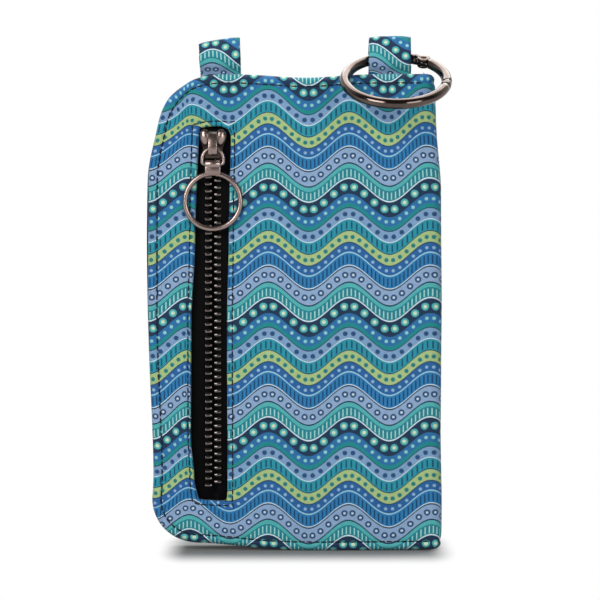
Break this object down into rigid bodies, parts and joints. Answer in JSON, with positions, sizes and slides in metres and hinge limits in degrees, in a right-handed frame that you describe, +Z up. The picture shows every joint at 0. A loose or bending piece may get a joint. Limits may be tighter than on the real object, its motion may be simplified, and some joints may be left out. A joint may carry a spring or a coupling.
{
  "type": "phone pouch",
  "caption": "Padded printed cloth phone pouch with a zipped front pocket, an open phone pocket behind, strap loops on top and a spring-gate ring.",
  "frame": {"origin": "middle of the base, at half the pouch's thickness", "axes": "+Z up, the front with the zip faces -Y, +X to the right as the front is seen"},
  "size_m": [0.1136, 0.0473, 0.195],
  "materials": {
    "printed_cloth": "printed cotton in blues, teals and pale green, padded",
    "black_cloth": "plain black lining cloth",
    "zip_tape": "black woven zip tape",
    "gunmetal": "polished gunmetal plating"
  },
  "bodies": {
    "pouch": {"front_panel": "printed_cloth", "back_panel": "printed_cloth", "spine_panel": "printed_cloth", "left_loop": "printed_cloth", "right_loop": "printed_cloth", "pocket_lining": "black_cloth", "middle_panel": "black_cloth", "gusset": "black_cloth", "front_phone_lining": "black_cloth", "back_phone_lining": "black_cloth", "zip_tape_left": "zip_tape", "zip_tape_right": "zip_tape", "zip_teeth_left": "gunmetal", "zip_teeth_right": "gunmetal"},
    "slider": {"slider_body": "gunmetal", "slider_crown": "gunmetal"},
    "stirrup": {"pull_stirrup": "gunmetal"},
    "pull": {"pull_ring": "gunmetal"},
    "ring": {"carrier_ring": "gunmetal", "gate_pin": "gunmetal"},
    "gate": {"ring_gate": "gunmetal"}
  },
  "joints": [
    {"name": "slider_slide", "type": "slide", "parent": "pouch", "child": "slider", "axis": [0, 0, -1], "range_m": [0, 0.124]},
    {"name": "stirrup_swing", "type": "hinge", "parent": "slider", "child": "stirrup", "pos_m": [-0.0305, -0.01195, 0.152], "axis": [-1, 0, 0], "range_deg": [0, 120]},
    {"name": "pull_swing", "type": "hinge", "parent": "stirrup", "child": "pull", "pos_m": [-0.0305, -0.01195, 0.146], "axis": [-1, 0, 0], "range_deg": [0, 60]},
    {"name": "ring_swing", "type": "hinge", "parent": "pouch", "child": "ring", "pos_m": [0.0362, -0.00245, 0.1858], "axis": [-1, 0, 0], "range_deg": [0, 190]},
    {"name": "gate_open", "type": "hinge", "parent": "ring", "child": "gate", "pos_m": [0.049, -0.00424, 0.18481], "axis": [0, 0.4848, -0.8746], "range_deg": [0, 25], "stiffness_Nm_per_rad": 0.01, "springref_deg": -17.19}
  ]
}
